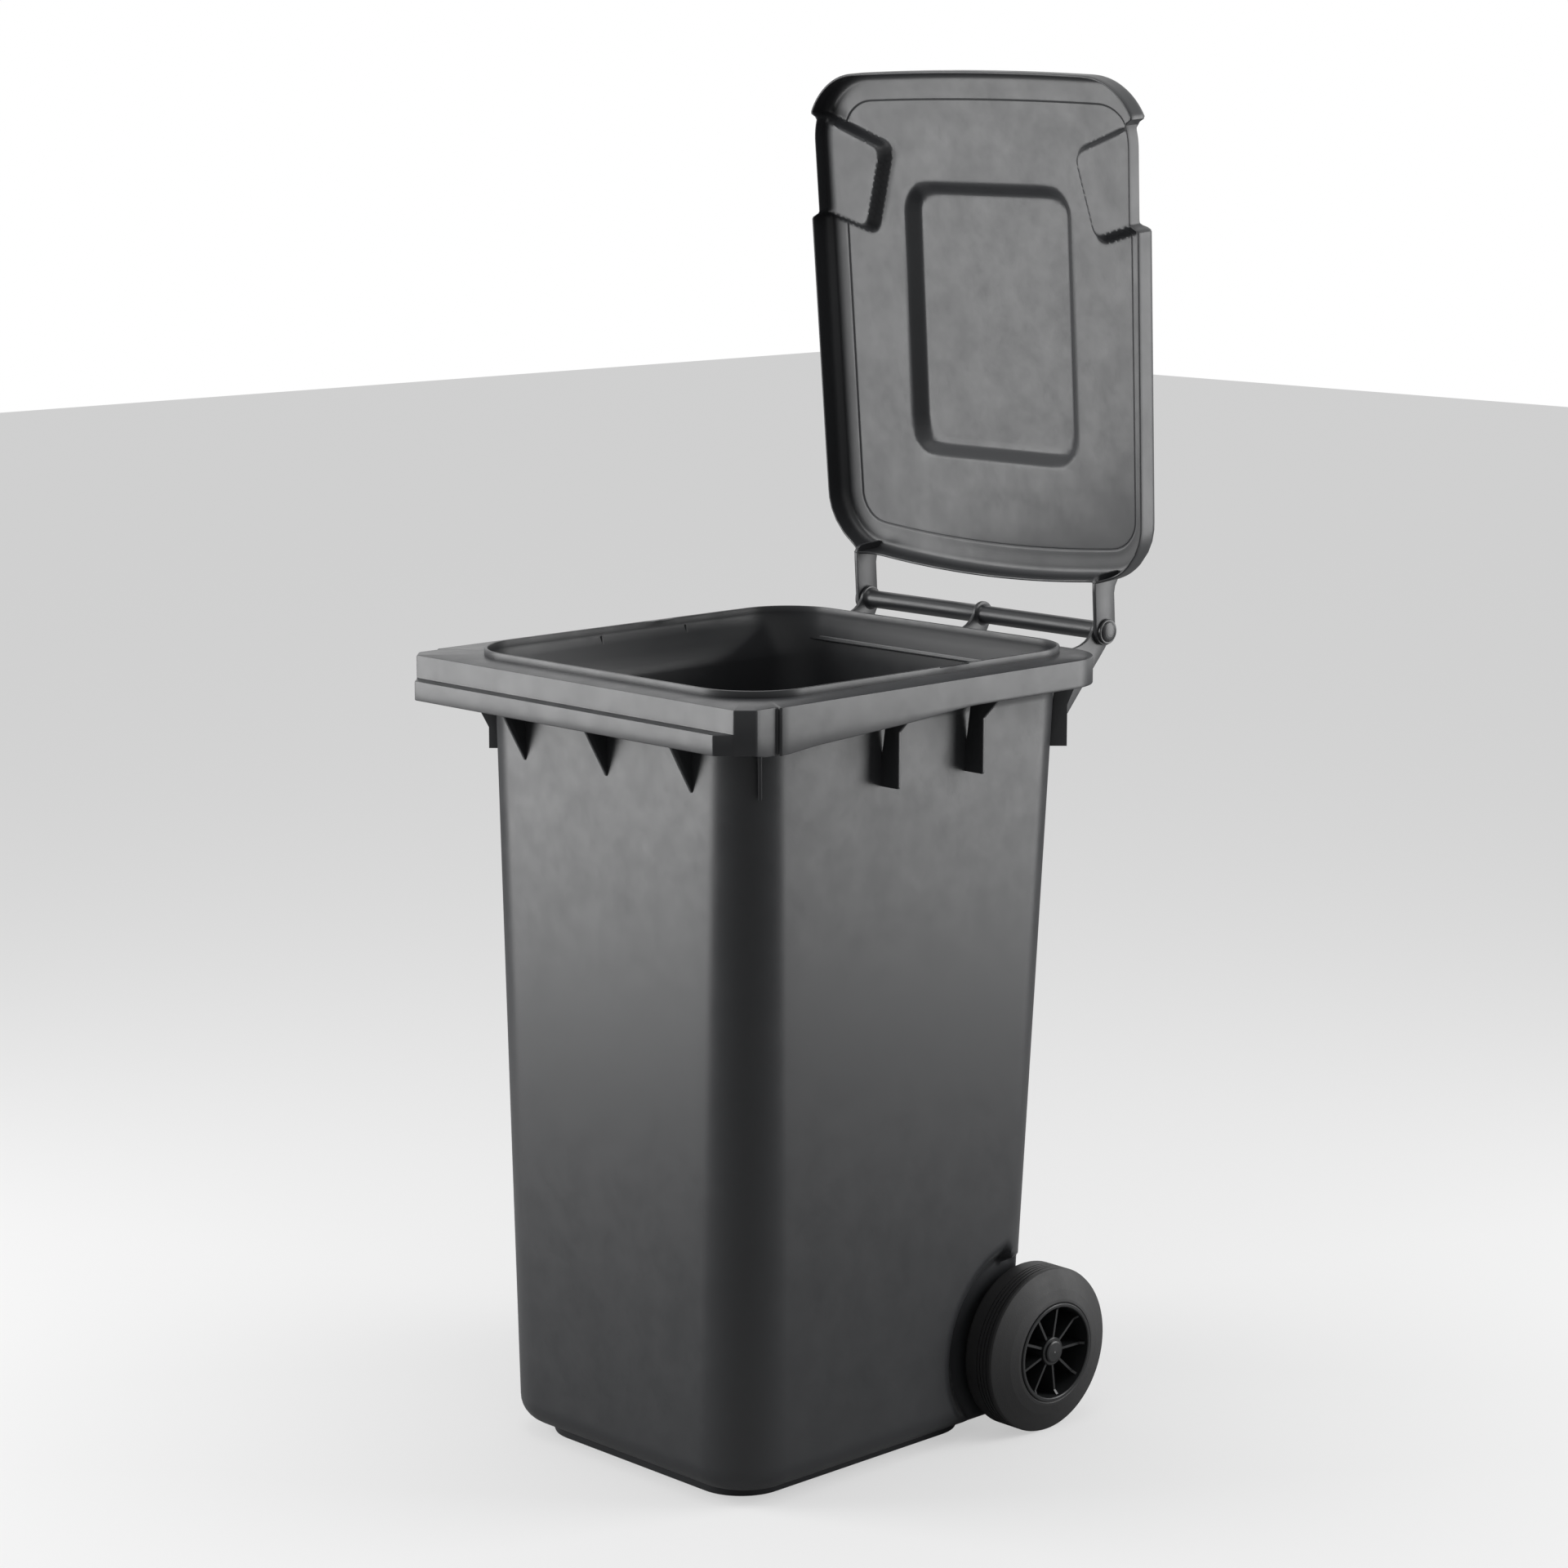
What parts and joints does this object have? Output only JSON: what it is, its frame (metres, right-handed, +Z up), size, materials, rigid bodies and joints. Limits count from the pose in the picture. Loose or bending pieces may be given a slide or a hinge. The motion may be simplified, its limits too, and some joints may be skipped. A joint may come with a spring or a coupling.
{
  "type": "wheelie bin",
  "caption": "Two-wheeled household waste bin: tapered tub with comb lip, rear handle bar and a hinged lid standing open.",
  "frame": {"origin": "middle of the underside of the plinth, on the ground", "axes": "+Z up, -Y towards the front with the comb lip, +X towards the bin's right-hand wheel as seen from the front right, rim and hinge axis parallel to X"},
  "size_m": [0.585, 0.7221, 1.6075],
  "materials": {
    "tub_plastic": "semi-matt moulded polyethylene",
    "lid_plastic": "semi-matt moulded polyethylene",
    "pin_plastic": "satin moulded plastic",
    "axle_steel": "zinc plated",
    "hub_plastic": "satin moulded polypropylene",
    "tyre_rubber": "matt solid rubber",
    "latch_plastic": "moulded plastic"
  },
  "bodies": {
    "body": {"tub": "tub_plastic", "hinge_pin_left": "pin_plastic", "hinge_pin_right": "pin_plastic", "axle": "axle_steel"},
    "lid": {"lid": "lid_plastic"},
    "wheel_left": {"hub_left": "hub_plastic", "tyre_left": "tyre_rubber", "hub_cap_left": "hub_plastic", "latch_pin_left": "latch_plastic"},
    "wheel_right": {"hub_right": "hub_plastic", "tyre_right": "tyre_rubber", "hub_cap_right": "hub_plastic", "latch_pin_right": "latch_plastic"}
  },
  "joints": [
    {"name": "lid_hinge", "type": "hinge", "parent": "body", "child": "lid", "pos_m": [0, 0.3847, 0.9495], "axis": [1, 0, 0], "range_deg": [-168, 87.1]},
    {"name": "wheel_left_spin", "type": "hinge", "parent": "body", "child": "wheel_left", "pos_m": [-0.23, 0.2421, 0.1], "axis": [1, 0, 0], "continuous": true},
    {"name": "wheel_right_spin", "type": "hinge", "parent": "body", "child": "wheel_right", "pos_m": [0.23, 0.2421, 0.1], "axis": [1, 0, 0], "continuous": true}
  ]
}
